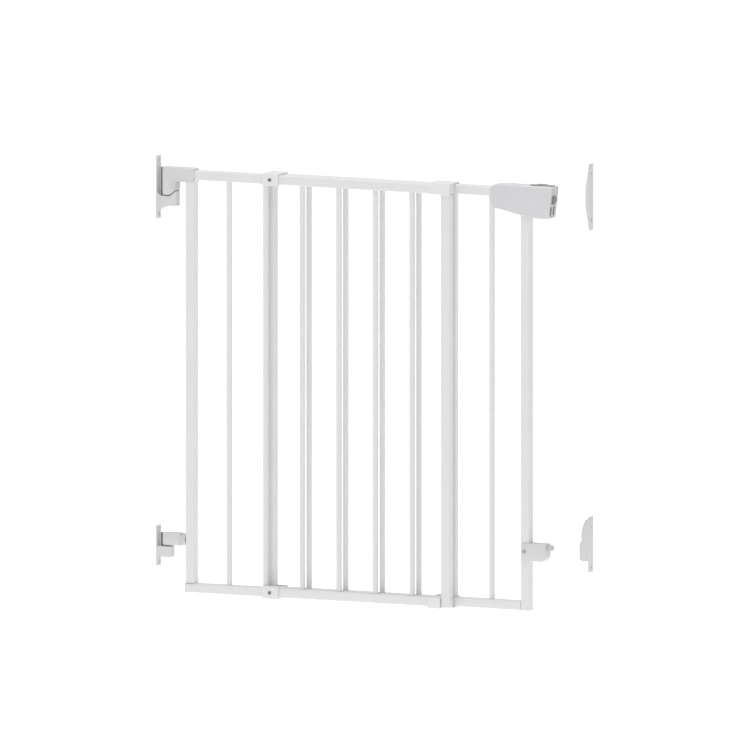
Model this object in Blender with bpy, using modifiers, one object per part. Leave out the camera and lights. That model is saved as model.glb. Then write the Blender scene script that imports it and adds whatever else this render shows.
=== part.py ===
"""Hardware-mounted safety gate: two barred steel panels that slide over each other, hung on a
lift-off hinge at the left and latched into two wall catches at the right.

Units are metres and +Z is up.  The origin is the centre of the back face of the lower hinge
bracket's wall plate.  +X runs along the closed gate, and -Y faces the person in front of it.
"""
import math

import bmesh
import bpy
from mathutils import Matrix, Vector

# ---- overall sizes -----------------------------------------------------------------------
FRAME_HEIGHT = 0.762          # outside of the bottom rail to the outside of the top rail
PANEL_WIDTH = 0.5265          # each panel, outside to outside
PANEL_OFFSET = 0.1500          # how far the rear panel is drawn out past the front one
PANEL_GAP = 0.0010            # daylight between the two panels
FRAME_BOTTOM = -0.0815        # underside of both panels
LATCH_TO_WALL = 0.1195         # from the latch post's right face to the catch wall

# ---- steel sections ----------------------------------------------------------------------
POST = 0.0178                  # square tube of the uprights
RAIL = 0.017                  # square tube of the rails
TUBE_WALL = 0.0012
TUBE_CORNER = 0.002
BAR_DIAMETER = 0.010
BAR_WALL = 0.001
BAR_COUNT = 6
PLUG_FLANGE = 0.0009          # end plug, outside its tube
PLUG_STUB = 0.008             # end plug, inside its tube
FIRST_BAR = 0.0746            # from the middle of a panel's left post
LAST_BAR = 0.0696             # from the middle of a panel's right post

# ---- fits --------------------------------------------------------------------------------
GAP = 0.0003                  # between pieces that touch or are welded
SLIDING_GAP = 0.0004          # round a piece that slides or turns
SHANK_GAP = 0.0003            # round a screw or pin

# ---- hinge side --------------------------------------------------------------------------
POST_LEFT = 0.0588             # left face of the hinge post
HINGE_X = 0.0185               # hinge axis, from the wall
PLATE_DEPTH = 0.018           # width of the hinge side's wall plates
CUP_DEPTH = 0.0164
ARM_WALL = 0.0015             # beside the top rail
PLATE_THICKNESS = 0.0022
PIN_DIAMETER = 0.0075
KNUCKLE_RADIUS = 0.0086
UPPER_PLATE_SPAN = (-0.0905, 0.023)   # heights from the top rail's top face
LOWER_PLATE_Z = (-0.037, 0.037)
ARM_CAP = 0.0034               # the arm's wall above the top rail
UPPER_ARM_HEIGHT = 0.0249
UPPER_KNUCKLE_DROP = 0.0245   # the knuckle, below the arm
UPPER_KNUCKLE_END = 0.0396
UPPER_CUP_HEIGHT = 0.020
LOWER_ARM_Z = (0.002, 0.0245)
LOWER_ARM_END = 0.048
LOWER_CUP_END = 0.0292
LOWER_CUP_HEIGHT = 0.019
SEAT_FLAT = 0.0118            # radius of the flat middle of the upper hinge seat
SEAT_SLOPE = 0.9             # rise of the seat for each metre of radius outside it
BUSH_THICKNESS = 0.0016       # wear bush under each knuckle
BUSH_WRAP = 0.0030            # the bush's wall round the knuckle's end
SEAT_GAP = 0.0007             # daylight under each bush
PIN_ENGAGEMENT = 0.016        # pin inside the cup
PIN_IN_ARM = 0.016
ADJUSTER_RADIUS = 0.011
ADJUSTER_LOBES = 18

# ---- panel couplings ---------------------------------------------------------------------
BAND = 0.0025                  # wall of the clamps and guide sleeves
SLEEVE_LENGTH = 0.0438
CLAMP_WIDTH = 0.0325
CLAMP_INSET = 0.0033           # from the rear panel's left end
INNER_LIP = 0.0012            # lip on the bars' side, behind the front rail
CLAMP_SCREW_HEAD = 0.0062

# ---- handle ------------------------------------------------------------------------------
HANDLE_FRONT_WALL = 0.0044    # in front of the latch post
HANDLE_BACK_WALL = 0.0077      # behind the latch post
HANDLE_BEFORE_POST = 0.0579   # handle's left end, left of the latch post
HANDLE_PAST_POST = 0.0473     # handle's right end at the top, right of the latch post
HANDLE_SLANT = 0.0070         # how much further left the end is at the bottom
HANDLE_DROP = 0.0590          # height of the handle at its right end
HANDLE_ROOF = 0.0054          # wall above the top rail
SHELL_WALL = 0.0025
BOLT_SIZE = (0.0095, 0.014)   # depth and height
BOLT_NOSE = 0.0055
BOLT_LENGTH = 0.0315
BOLT_DROP = 0.0112            # bolt's middle, below the top rail's middle
BOLT_TRAVEL = 0.010
SLIDER_LENGTH = 0.046
SLIDER_DEPTH = 0.0095
SLIDER_THICKNESS = 0.0015
SLIDER_LEG = 0.008
GRIP_HEIGHT = 0.0012

# ---- lower latch and catches -------------------------------------------------------------
BLOCK_Z = (0.0085, 0.0405)
BLOCK_WALL = 0.0027           # in front of and behind the latch post
BLOCK_PAST_POST = 0.0334
BLOCK_BEHIND_EDGE = 0.003     # block's left edge, right of the post's left face
BLOCK_CHAMFER = 0.006
PEG_DIAMETER = 0.0110
PEG_NOSE = 0.0104
PEG_LENGTH = 0.034
PEG_Z = 0.0332
CATCH_RIB = 0.0025
CATCH_CLEARANCE = 0.0002      # beside the peg
UPPER_CATCH_SPAN = (-0.0695, 0.0505)   # heights from the top rail's top face
UPPER_CATCH_REACH = 0.008
LOWER_CATCH_Z = (-0.006, 0.094)
LOWER_CATCH_REACH = 0.020
SADDLE_Z = (0.014, 0.0205)
CATCH_PLATE = 0.003           # floor of both catches

# ---- screws ------------------------------------------------------------------------------
WALL_SCREW_HEAD = 0.0085
WALL_SCREW_SHANK = 0.0045
RECESS_DEPTH = 0.0012         # cross recess in a wall screw's head
SMALL_SCREW_HEAD = 0.007
SMALL_SCREW_SHANK = 0.0035
SCREW_HEAD_HEIGHT = 0.0018

# ---- places worked out from the sizes above ----------------------------------------------
FRAME_TOP = FRAME_BOTTOM + FRAME_HEIGHT
TOP_RAIL_Z = FRAME_TOP - RAIL / 2
BOTTOM_RAIL_Z = FRAME_BOTTOM + RAIL / 2
REAR_LEFT = POST_LEFT + PANEL_OFFSET
REAR_RIGHT = REAR_LEFT + PANEL_WIDTH
FRONT_RIGHT = POST_LEFT + PANEL_WIDTH
FRAME_DEPTH = max(POST, RAIL)
REAR_Y = FRAME_DEPTH + PANEL_GAP   # the rear panel's middle plane
BAR_PITCH = (PANEL_WIDTH - POST - FIRST_BAR - LAST_BAR) / (BAR_COUNT - 1)
ARM_DEPTH = RAIL + 2 * ARM_WALL
BLOCK_DEPTH = POST + 2 * BLOCK_WALL
CATCH_DEPTH = PEG_DIAMETER + 2 * (CATCH_CLEARANCE + CATCH_RIB)
UPPER_PLATE_Z = [FRAME_TOP + height for height in UPPER_PLATE_SPAN]
UPPER_CATCH_Z = [FRAME_TOP + height for height in UPPER_CATCH_SPAN]
LATCH_POST_LEFT = REAR_RIGHT - POST
WALL_X = REAR_RIGHT + LATCH_TO_WALL
FAR = 0.05                    # how far a cutter runs past what it cuts


for old in list(bpy.data.objects):
    bpy.data.objects.remove(old, do_unlink=True)

gate = bpy.data.collections.new("safety_gate")
cutters = bpy.data.collections.new("cutters")
bpy.context.scene.collection.children.link(gate)
bpy.context.scene.collection.children.link(cutters)


def finish_material(name, colour, roughness, metallic=0.0):
    material = bpy.data.materials.new(name)
    material.use_nodes = True
    shader = material.node_tree.nodes["Principled BSDF"]
    shader.inputs["Base Color"].default_value = (*colour, 1.0)
    shader.inputs["Roughness"].default_value = roughness
    shader.inputs["Metallic"].default_value = metallic
    return material


WHITE_PAINT = finish_material("white_powder_coat", (0.74, 0.74, 0.75), 0.42)
PALE_PLASTIC = finish_material("pale_grey_plastic", (0.62, 0.61, 0.62), 0.5)
DARK_PLASTIC = finish_material("dark_grey_plastic", (0.17, 0.17, 0.18), 0.55)
ZINC = finish_material("zinc_plated_steel", (0.55, 0.55, 0.56), 0.35, 1.0)


# ---- joint frames: empties on the axes that the moving pieces hang from ------------------
def frame_empty(name, location, parent=None):
    empty = bpy.data.objects.new(name, None)
    empty.empty_display_size = 0.03
    gate.objects.link(empty)
    empty.parent = parent
    origin = world_place(parent) if parent else Vector()
    empty.location = Vector(location) - origin
    return empty


def world_place(item):
    place = item.location.copy()
    while item.parent:
        item = item.parent
        place += item.location
    return place


LIFT = frame_empty("lift_axis", (HINGE_X, 0, 0))
SWING = frame_empty("swing_axis", (HINGE_X, 0, 0), LIFT)
SLIDE = frame_empty("extension_axis", (REAR_LEFT, REAR_Y, TOP_RAIL_Z), SWING)
LATCH = frame_empty("latch_axis", (REAR_RIGHT, REAR_Y, TOP_RAIL_Z - BOLT_DROP), SLIDE)
LOWER_ARM_MIDDLE = (LOWER_ARM_Z[0] + LOWER_ARM_Z[1]) / 2
ADJUST = frame_empty("adjuster_axis", (LOWER_ARM_END, 0, LOWER_ARM_MIDDLE), SWING)


# ---- modelling helpers -------------------------------------------------------------------
def link(name, mesh, location, material, parent=None, collection=gate):
    item = bpy.data.objects.new(name, mesh)
    collection.objects.link(item)
    item.location = Vector(location)
    if parent:
        item.parent = parent
        item.location -= world_place(parent)
    if material:
        mesh.materials.append(material)
    mesh.shade_smooth()
    mesh.set_sharp_from_angle(angle=math.radians(35))
    return item


def bevel(item, width, segments=2):
    mod = item.modifiers.new("rounded_edges", "BEVEL")
    mod.width = width
    mod.segments = segments
    mod.limit_method = "ANGLE"
    mod.angle_limit = math.radians(40)
    return item


def box_mesh(name, low, high):
    low, high = Vector(low), Vector(high)
    mesh = bpy.data.meshes.new(name)
    shape = bmesh.new()
    bmesh.ops.create_cube(shape, size=1.0)
    bmesh.ops.scale(shape, vec=high - low, verts=shape.verts)
    shape.to_mesh(mesh)
    shape.free()
    return mesh, (low + high) / 2


def block(name, low, high, material, parent=None, collection=gate):
    mesh, middle = box_mesh(name, low, high)
    return link(name, mesh, middle, material, parent, collection)


TURNS = {"X": Matrix.Rotation(math.radians(90), 3, "Y"),
         "Y": Matrix.Rotation(math.radians(-90), 3, "X"),
         "Z": Matrix.Identity(3)}


def rod(name, start, axis, length, radius, material, parent=None, collection=gate,
        sides=24, end_radius=None):
    """A cylinder or cone that starts at a point and runs along +X, +Y or +Z."""
    mesh = bpy.data.meshes.new(name)
    shape = bmesh.new()
    end = radius if end_radius is None else end_radius
    bmesh.ops.create_cone(shape, cap_ends=True, segments=sides, radius1=radius, radius2=end,
                          depth=length)
    bmesh.ops.translate(shape, vec=(0, 0, length / 2), verts=shape.verts)
    bmesh.ops.transform(shape, matrix=TURNS[axis].to_4x4(), verts=shape.verts)
    shape.to_mesh(mesh)
    shape.free()
    return link(name, mesh, start, material, parent, collection)


def outline_solid(name, points, thickness, material, parent=None, collection=gate,
                  plane="XZ", start=0.0):
    """A flat outline, drawn in world XZ or XY, given its thickness along +Y or +Z."""
    curve = bpy.data.curves.new(name, "CURVE")
    curve.dimensions = "2D"
    curve.fill_mode = "BOTH"
    curve.extrude = thickness / 2
    spline = curve.splines.new("POLY")
    spline.points.add(len(points) - 1)
    for spot, (across, up) in zip(spline.points, points):
        spot.co = (across, up, 0, 1)
    spline.use_cyclic_u = True
    flat = bpy.data.objects.new(name + "_outline", curve)
    cutters.objects.link(flat)
    bpy.context.view_layer.update()
    evaluated = flat.evaluated_get(bpy.context.evaluated_depsgraph_get())
    mesh = bpy.data.meshes.new_from_object(evaluated)
    bpy.data.objects.remove(flat, do_unlink=True)
    shape = bmesh.new()
    shape.from_mesh(mesh)
    bmesh.ops.remove_doubles(shape, verts=shape.verts, dist=1e-6)
    bmesh.ops.dissolve_limit(shape, angle_limit=math.radians(1), verts=shape.verts,
                             edges=shape.edges)
    if plane == "XZ":
        bmesh.ops.transform(shape, matrix=Matrix.Rotation(math.radians(90), 4, "X"),
                            verts=shape.verts)
        offset = Vector((0, start + thickness / 2, 0))
    else:
        offset = Vector((0, 0, start + thickness / 2))
    bmesh.ops.translate(shape, vec=offset, verts=shape.verts)
    bmesh.ops.recalc_face_normals(shape, faces=shape.faces)
    middle = sum((v.co for v in shape.verts), Vector()) / len(shape.verts)
    bmesh.ops.translate(shape, vec=-middle, verts=shape.verts)
    shape.to_mesh(mesh)
    shape.free()
    mesh.materials.clear()
    return link(name, mesh, middle, material, parent, collection)


def turned(name, profile, place, collection=cutters, sides=48):
    """A solid of revolution about Z, from (radius, height) points that run down the outside."""
    mesh = bpy.data.meshes.new(name)
    shape = bmesh.new()
    spots = [shape.verts.new((radius, 0, height)) for radius, height in profile]
    for one, two in zip(spots, spots[1:]):
        shape.edges.new((one, two))
    shape.to_mesh(mesh)
    shape.free()
    item = link(name, mesh, place, None, None, collection)
    mod = item.modifiers.new("turn", "SCREW")
    mod.steps = sides
    mod.render_steps = sides
    mod.use_merge_vertices = True
    mod.merge_threshold = 0.00001
    item.hide_render = True
    item.display_type = "WIRE"
    return item


def apply_cut(target, cutter, operation="DIFFERENCE"):
    cutter.hide_render = True
    cutter.display_type = "WIRE"
    mod = target.modifiers.new(cutter.name, "BOOLEAN")
    mod.operation = operation
    mod.object = cutter
    return target


def cut_box(target, low, high, label="pocket"):
    return apply_cut(target, block(target.name + "_" + label, low, high, None, None, cutters))


def cut_rod(target, start, axis, length, radius, label="bore", sides=24, end_radius=None):
    tool = rod(target.name + "_" + label, start, axis, length, radius, None, None, cutters,
               sides, end_radius)
    return apply_cut(target, tool)


def join_box(target, low, high, label="boss"):
    tool = block(target.name + "_" + label, low, high, None, None, cutters)
    return apply_cut(target, tool, "UNION")


def square_tube(name, low, high, axis, parent):
    """An open square tube: four walls with rounded corners, thickened inwards."""
    mesh, middle = box_mesh(name, low, high)
    shape = bmesh.new()
    shape.from_mesh(mesh)
    along = {"X": Vector((1, 0, 0)), "Z": Vector((0, 0, 1))}[axis]
    ends = [face for face in shape.faces if abs(face.normal.dot(along)) > 0.9]
    bmesh.ops.delete(shape, geom=ends, context="FACES_ONLY")
    shape.to_mesh(mesh)
    shape.free()
    tube = link(name, mesh, middle, WHITE_PAINT, parent)
    bevel(tube, TUBE_CORNER)
    wall = tube.modifiers.new("wall", "SOLIDIFY")
    wall.thickness = TUBE_WALL
    wall.offset = -1
    wall.use_even_offset = True
    return tube


def round_tube(name, place, length, diameter, wall_thickness, parent, sides=20):
    mesh = bpy.data.meshes.new(name)
    shape = bmesh.new()
    bmesh.ops.create_cone(shape, cap_ends=False, segments=sides, radius1=diameter / 2,
                          radius2=diameter / 2, depth=length)
    shape.to_mesh(mesh)
    shape.free()
    tube = link(name, mesh, Vector(place) + Vector((0, 0, length / 2)), WHITE_PAINT, parent)
    wall = tube.modifiers.new("wall", "SOLIDIFY")
    wall.thickness = wall_thickness
    wall.offset = -1
    wall.use_even_offset = True
    return tube


def rounded_end_outline(centre_x, radius, half_depth, right, steps=14):
    """Plan outline with a half-round left end and a square right end."""
    arc = [math.radians(90 + 180 * i / steps) for i in range(steps + 1)]
    points = [(centre_x + radius * math.cos(a), half_depth * math.sin(a)) for a in arc]
    return [(right, half_depth)] + points + [(right, -half_depth)]


def wall_screw(name, x, y, z, outward, plate_thickness):
    """A countersunk screw, flush in a wall plate.  outward is +1 where the plate faces +X."""
    head, shank = WALL_SCREW_HEAD / 2, WALL_SCREW_SHANK / 2
    taper = (head - shank) * GAP / plate_thickness
    radii = (shank + taper, head - taper) if outward > 0 else (head - taper, shank + taper)
    low = x + GAP if outward > 0 else x - plate_thickness + GAP
    screw = rod(name, (low, y, z), "X", plate_thickness - 2 * GAP, radii[0], ZINC,
                end_radius=radii[1])
    face = x + outward * plate_thickness
    deep, clear = face - outward * RECESS_DEPTH, face + outward * RECESS_DEPTH
    long_arm, half = head * 0.55, head * 0.13
    for label, across, up in (("upright", half, long_arm), ("level", long_arm, half)):
        cut_box(screw, (min(deep, clear), y - across, z - up),
                (max(deep, clear), y + across, z + up), label)
    return screw


def wall_screw_hole(plate, x, y, z, outward, plate_thickness):
    head, shank = WALL_SCREW_HEAD / 2 + SHANK_GAP, WALL_SCREW_SHANK / 2 + SHANK_GAP
    past = 0.0005
    widening = past * (head - shank) / plate_thickness
    radii = (shank - widening, head + widening)
    low = x - past
    if outward < 0:
        low = x - plate_thickness - past
        radii = radii[::-1]
    cut_rod(plate, (low, y, z), "X", plate_thickness + 2 * past, radii[0],
            "screw_hole_%d" % round(z * 1000), end_radius=radii[1])


# ---- wall brackets on the hinge side ------------------------------------------------------
def seat_profile(height, far_radius, closed_at):
    """Half section of the hinge seat: flat in the middle, then rising, down or up to a level."""
    rise = SEAT_SLOPE * (far_radius - SEAT_FLAT)
    return [(0, height), (SEAT_FLAT, height), (far_radius, height + rise),
            (far_radius, closed_at), (0, closed_at)]


UPPER_ARM_TOP = FRAME_TOP + ARM_CAP
UPPER_ARM_BOTTOM = UPPER_ARM_TOP - UPPER_ARM_HEIGHT
UPPER_SEAT = UPPER_ARM_BOTTOM - UPPER_KNUCKLE_DROP
UPPER_CUP_BOTTOM = UPPER_SEAT - UPPER_CUP_HEIGHT
SEAT_REACH = 0.030
UPPER_SCREWS = (UPPER_PLATE_Z[0] + 0.0075, UPPER_PLATE_Z[1] - 0.009)
LOWER_SCREWS = (LOWER_PLATE_Z[0] + 0.008, LOWER_PLATE_Z[1] - 0.006)

half_plate = PLATE_DEPTH / 2
half_cup = CUP_DEPTH / 2
SEAT_DEPTH = GAP + BUSH_THICKNESS + SEAT_GAP   # from an arm's seat down to its cup
upper_bracket = block("upper_hinge_bracket", (0, -half_plate, UPPER_PLATE_Z[0]),
                      (PLATE_THICKNESS, half_plate, UPPER_PLATE_Z[1]), PALE_PLASTIC)
bevel(upper_bracket, 0.0008)
cup_outline = [(PLATE_THICKNESS / 2, UPPER_CUP_BOTTOM - 0.009),
               (PLATE_THICKNESS + 0.005, UPPER_CUP_BOTTOM - 0.0085),
               (PLATE_THICKNESS + 0.018, UPPER_CUP_BOTTOM),
               (UPPER_KNUCKLE_END, UPPER_CUP_BOTTOM),
               (UPPER_KNUCKLE_END, UPPER_SEAT + 0.025),
               (PLATE_THICKNESS / 2, UPPER_SEAT + 0.025)]
upper_cup = outline_solid("upper_cup", cup_outline, CUP_DEPTH, None, None, cutters,
                          "XZ", -half_cup)
seat_floor = UPPER_SEAT - SEAT_DEPTH
upper_seat_tool = turned("upper_seat_space",
                         seat_profile(seat_floor, SEAT_REACH, seat_floor + 0.06)[::-1],
                         (HINGE_X, 0, 0))
apply_cut(upper_cup, upper_seat_tool)
cut_rod(upper_cup, (HINGE_X, 0, seat_floor - PIN_ENGAGEMENT - GAP), "Z", FAR,
        PIN_DIAMETER / 2 + SHANK_GAP, "pin_bore")
for screw_z in UPPER_SCREWS:
    wall_screw_hole(upper_bracket, 0, 0, screw_z, 1, PLATE_THICKNESS)
apply_cut(upper_bracket, upper_cup, "UNION")

lower_bracket = block("lower_hinge_bracket", (0, -half_plate, LOWER_PLATE_Z[0]),
                      (PLATE_THICKNESS, half_plate, LOWER_PLATE_Z[1]), PALE_PLASTIC)
bevel(lower_bracket, 0.0008)
LOWER_SEAT = LOWER_ARM_Z[0] - SEAT_DEPTH
join_box(lower_bracket, (PLATE_THICKNESS / 2, -half_cup, LOWER_SEAT - LOWER_CUP_HEIGHT),
         (LOWER_CUP_END, half_cup, LOWER_SEAT), "cup")
cut_rod(lower_bracket, (HINGE_X, 0, LOWER_SEAT - PIN_ENGAGEMENT - GAP), "Z", FAR,
        PIN_DIAMETER / 2 + SHANK_GAP, "pin_bore")
for screw_z in LOWER_SCREWS:
    wall_screw_hole(lower_bracket, 0, 0, screw_z, 1, PLATE_THICKNESS)

for end, upper_z, lower_z in (("bottom", UPPER_SCREWS[0], LOWER_SCREWS[0]),
                              ("top", UPPER_SCREWS[1], LOWER_SCREWS[1])):
    wall_screw("upper_hinge_screw_" + end, 0, 0, upper_z, 1, PLATE_THICKNESS)
    wall_screw("lower_hinge_screw_" + end, 0, 0, lower_z, 1, PLATE_THICKNESS)

# ---- hinge pins, which lift out with the gate ---------------------------------------------
PIN_LENGTH = PIN_ENGAGEMENT + SEAT_DEPTH + PIN_IN_ARM
for name, seat in (("upper_hinge_pin", seat_floor), ("lower_hinge_pin", LOWER_SEAT)):
    pin = rod(name, (HINGE_X, 0, seat - PIN_ENGAGEMENT), "Z", PIN_LENGTH, PIN_DIAMETER / 2, ZINC,
              LIFT, sides=20)
    bevel(pin, 0.0006, 1)

# ---- the hinge arms on the front panel ----------------------------------------------------
half_arm = ARM_DEPTH / 2
HINGE_POST_RIGHT = POST_LEFT + POST
arm_plan = rounded_end_outline(HINGE_X, KNUCKLE_RADIUS, half_arm, HINGE_POST_RIGHT)
upper_arm = outline_solid("upper_hinge_arm", arm_plan, UPPER_ARM_HEIGHT, PALE_PLASTIC, SWING,
                          plane="XY", start=UPPER_ARM_BOTTOM)
bevel(upper_arm, 0.0012)
knuckle_plan = rounded_end_outline(HINGE_X, KNUCKLE_RADIUS - 0.0001, half_arm - 0.0001,
                                   UPPER_KNUCKLE_END)
knuckle = outline_solid("upper_knuckle", knuckle_plan, UPPER_KNUCKLE_DROP + 0.005, None, None,
                        cutters, "XY", UPPER_SEAT)
apply_cut(upper_arm, knuckle, "UNION")
under_seat = turned("under_upper_seat", seat_profile(UPPER_SEAT, SEAT_REACH, UPPER_SEAT - 0.03),
                    (HINGE_X, 0, 0))
apply_cut(upper_arm, under_seat)
cut_box(upper_arm, (POST_LEFT - SLIDING_GAP, -RAIL / 2 - GAP, FRAME_TOP - RAIL - GAP),
        (HINGE_POST_RIGHT + FAR, RAIL / 2 + GAP, FRAME_TOP + GAP), "rail_socket")
cut_box(upper_arm, (POST_LEFT - SLIDING_GAP, -POST / 2 - GAP, FRAME_TOP - RAIL - FAR),
        (HINGE_POST_RIGHT + FAR, POST / 2 + GAP, FRAME_TOP - RAIL), "post_socket")
cut_rod(upper_arm, (HINGE_X, 0, UPPER_SEAT - 0.01), "Z", 0.01 + PIN_IN_ARM + GAP,
        PIN_DIAMETER / 2 + SHANK_GAP, "pin_bore")

lower_arm_plan = rounded_end_outline(HINGE_X, KNUCKLE_RADIUS, half_cup, LOWER_ARM_END)
lower_arm = outline_solid("lower_hinge_arm", lower_arm_plan, LOWER_ARM_Z[1] - LOWER_ARM_Z[0],
                          PALE_PLASTIC, SWING, plane="XY", start=LOWER_ARM_Z[0])
bevel(lower_arm, 0.0012)
cut_rod(lower_arm, (HINGE_X, 0, LOWER_ARM_Z[0] - 0.01), "Z", 0.01 + PIN_IN_ARM + GAP,
        PIN_DIAMETER / 2 + SHANK_GAP, "pin_bore")


def wear_bush(name, right, seat, dish, top):
    """A dark liner that lies under a knuckle and turns up round its wall end.

    It takes a plan a little wider than the knuckle's end, less the knuckle, less what lies
    under the bush.  dish is True where the seat rises outside its flat middle.
    """
    drop = GAP + BUSH_THICKNESS
    lowest = seat - drop
    item = outline_solid(name, rounded_end_outline(HINGE_X, KNUCKLE_RADIUS + GAP + BUSH_WRAP,
                                                   half_cup - GAP, right - GAP),
                         top - lowest, DARK_PLASTIC, SWING, plane="XY", start=lowest)
    knuckle_space = outline_solid(name + "_knuckle_space",
                                  rounded_end_outline(HINGE_X, KNUCKLE_RADIUS + GAP, ARM_DEPTH,
                                                      right + FAR),
                                  top - seat + GAP + 0.005, None, None, cutters, "XY", seat - GAP)
    if dish:
        under_knuckle = turned(name + "_under_knuckle",
                               seat_profile(seat - GAP, 2 * SEAT_REACH, seat - FAR),
                               (HINGE_X, 0, 0))
        apply_cut(knuckle_space, under_knuckle)
        under_bush = turned(name + "_under_bush",
                            seat_profile(lowest, 2 * SEAT_REACH, lowest - FAR), (HINGE_X, 0, 0))
        apply_cut(item, knuckle_space)
        apply_cut(item, under_bush)
    else:
        apply_cut(item, knuckle_space)
    cut_rod(item, (HINGE_X, 0, lowest - 0.005), "Z", 0.02, PIN_DIAMETER / 2 + SHANK_GAP,
            "pin_bore")
    return item


BUSH_BELOW_TOP = 0.0006
wear_bush("upper_hinge_bush", UPPER_KNUCKLE_END, UPPER_SEAT, True,
          UPPER_ARM_TOP - BUSH_BELOW_TOP)
wear_bush("lower_hinge_bush", LOWER_CUP_END, LOWER_ARM_Z[0], False,
          LOWER_ARM_Z[1] - BUSH_BELOW_TOP)
STUD_START = LOWER_ARM_END - 0.012
STUD_END = POST_LEFT + 0.008
cut_rod(lower_arm, (STUD_START - GAP, 0, LOWER_ARM_MIDDLE), "X", FAR,
        PIN_DIAMETER / 2 + SHANK_GAP, "stud_bore")
rod("adjuster_stud", (STUD_START, 0, LOWER_ARM_MIDDLE), "X", STUD_END - STUD_START,
    PIN_DIAMETER / 2, ZINC, SWING, sides=20)


def lobed_outline(radius, lobes, depth):
    """A thumbwheel's rim: every other point of the circle drawn in."""
    points = []
    for step in range(2 * lobes):
        reach = radius - depth * (step % 2)
        angle = math.pi * step / lobes
        points.append((reach * math.cos(angle), reach * math.sin(angle)))
    return points


WHEEL_LEFT = LOWER_ARM_END + SLIDING_GAP
WHEEL_RIGHT = POST_LEFT - SLIDING_GAP
wheel = outline_solid("adjuster_wheel", lobed_outline(ADJUSTER_RADIUS, ADJUSTER_LOBES, 0.0009),
                      WHEEL_RIGHT - WHEEL_LEFT, PALE_PLASTIC, None, plane="XY")
wheel.rotation_euler = (0, math.radians(90), 0)
wheel.location = Vector(((WHEEL_LEFT + WHEEL_RIGHT) / 2, 0, LOWER_ARM_MIDDLE))
wheel.parent = ADJUST
wheel.location -= world_place(ADJUST)
bevel(wheel, 0.0006, 1)
cut_rod(wheel, (WHEEL_LEFT - 0.005, 0, LOWER_ARM_MIDDLE), "X", 0.02,
        PIN_DIAMETER / 2 + SLIDING_GAP, "stud_hole")


# ---- the two barred panels ----------------------------------------------------------------
def panel(prefix, left, y, parent, left_post_name, right_post_name):
    """A top rail over everything, a left post that stands on the bottom rail, and a right post
    that runs down past the bottom rail's end and is closed at its foot."""
    right = left + PANEL_WIDTH
    half_rail, half_post = RAIL / 2, POST / 2
    square_tube(prefix + "_top_rail", (left, y - half_rail, FRAME_TOP - RAIL),
                (right, y + half_rail, FRAME_TOP), "X", parent)
    square_tube(prefix + "_bottom_rail", (left, y - half_rail, FRAME_BOTTOM),
                (right - POST - GAP, y + half_rail, FRAME_BOTTOM + RAIL), "X", parent)
    foot, head = FRAME_BOTTOM + RAIL + GAP, FRAME_TOP - RAIL - GAP
    left_post = square_tube(left_post_name, (left, y - half_post, foot),
                            (left + POST, y + half_post, head), "Z", parent)
    right_post = square_tube(right_post_name, (right - POST, y - half_post, FRAME_BOTTOM),
                             (right, y + half_post, head), "Z", parent)
    inside = TUBE_WALL / 2
    join_box(right_post, (right - POST + inside, y - half_post + inside,
                          FRAME_BOTTOM + inside),
             (right - inside, y + half_post - inside, FRAME_BOTTOM + inside + TUBE_WALL), "foot")
    for number in range(BAR_COUNT):
        x = left + POST / 2 + FIRST_BAR + number * BAR_PITCH
        round_tube("%s_bar_%d" % (prefix, number + 1), (x, y, foot), head - foot, BAR_DIAMETER,
                   BAR_WALL, parent)
    return left_post, right_post


def end_plug(name, x, y, middle_z, outward, parent):
    """A moulded cap: a flange over the tube's end and a shorter stub inside it."""
    flange, stub = PLUG_FLANGE, PLUG_STUB
    half, inner = RAIL / 2, RAIL / 2 - TUBE_WALL - GAP
    face = x + outward * GAP
    low, high = sorted((face, face + outward * flange))
    cap = block(name, (low, y - half, middle_z - half), (high, y + half, middle_z + half),
                WHITE_PAINT, parent)
    bevel(cap, 0.0006, 1)
    low, high = sorted((face + outward * flange / 2, face - outward * stub))
    return join_box(cap, (low, y - inner + 0.0004, middle_z - inner + 0.0004),
                    (high, y + inner - 0.0004, middle_z + inner - 0.0004), "stub")


hinge_post, _ = panel("front", POST_LEFT, 0.0, SWING, "hinge_post", "front_inner_post")
cut_rod(hinge_post, (POST_LEFT - 0.005, 0, LOWER_ARM_MIDDLE), "X", 0.01,
        PIN_DIAMETER / 2 + SHANK_GAP, "stud_hole")
end_plug("front_bottom_plug", POST_LEFT, 0.0, BOTTOM_RAIL_Z, -1, SWING)

_, latch_post = panel("rear", REAR_LEFT, REAR_Y, SLIDE, "rear_inner_post", "latch_post")
end_plug("rear_top_plug", REAR_LEFT, REAR_Y, TOP_RAIL_Z, -1, SLIDE)
end_plug("rear_bottom_plug", REAR_LEFT, REAR_Y, BOTTOM_RAIL_Z, -1, SLIDE)

# ---- guide sleeves on the front panel, clamps on the rear panel ---------------------------
BAND_FRONT = -FRAME_DEPTH / 2 - SLIDING_GAP - BAND
BAND_BACK = REAR_Y + FRAME_DEPTH / 2 + SLIDING_GAP + BAND
BAR_CLEAR = BAR_DIAMETER / 2 + 0.0005
SLEEVE_END_WALL = 0.001
SLEEVE_NECK = 0.002           # how far left of the post the sleeve's front keeps its lip


def band_solid(name, left, right, rail_z, material, parent):
    half = RAIL / 2 + SLIDING_GAP + BAND
    item = block(name, (left, BAND_FRONT, rail_z - half), (right, BAND_BACK, rail_z + half),
                 material, parent)
    return bevel(item, 0.0012)


def cut_towards_bars(item, left, right, rail_z, inward, front, back, past, label):
    """Cut away what lies between a height past the rail's middle and the bars.

    inward is -1 on the top rails, whose bars are below, and +1 on the bottom rails.
    """
    near, far = rail_z + inward * past, rail_z + inward * FAR
    cut_box(item, (left, front, min(near, far)), (right, back, max(near, far)), label)


def cut_passage(item, left, right, rail_z, front, back, label):
    reach = RAIL / 2 + SLIDING_GAP
    cut_box(item, (left, front, rail_z - reach), (right, back, rail_z + reach), label)


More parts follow.
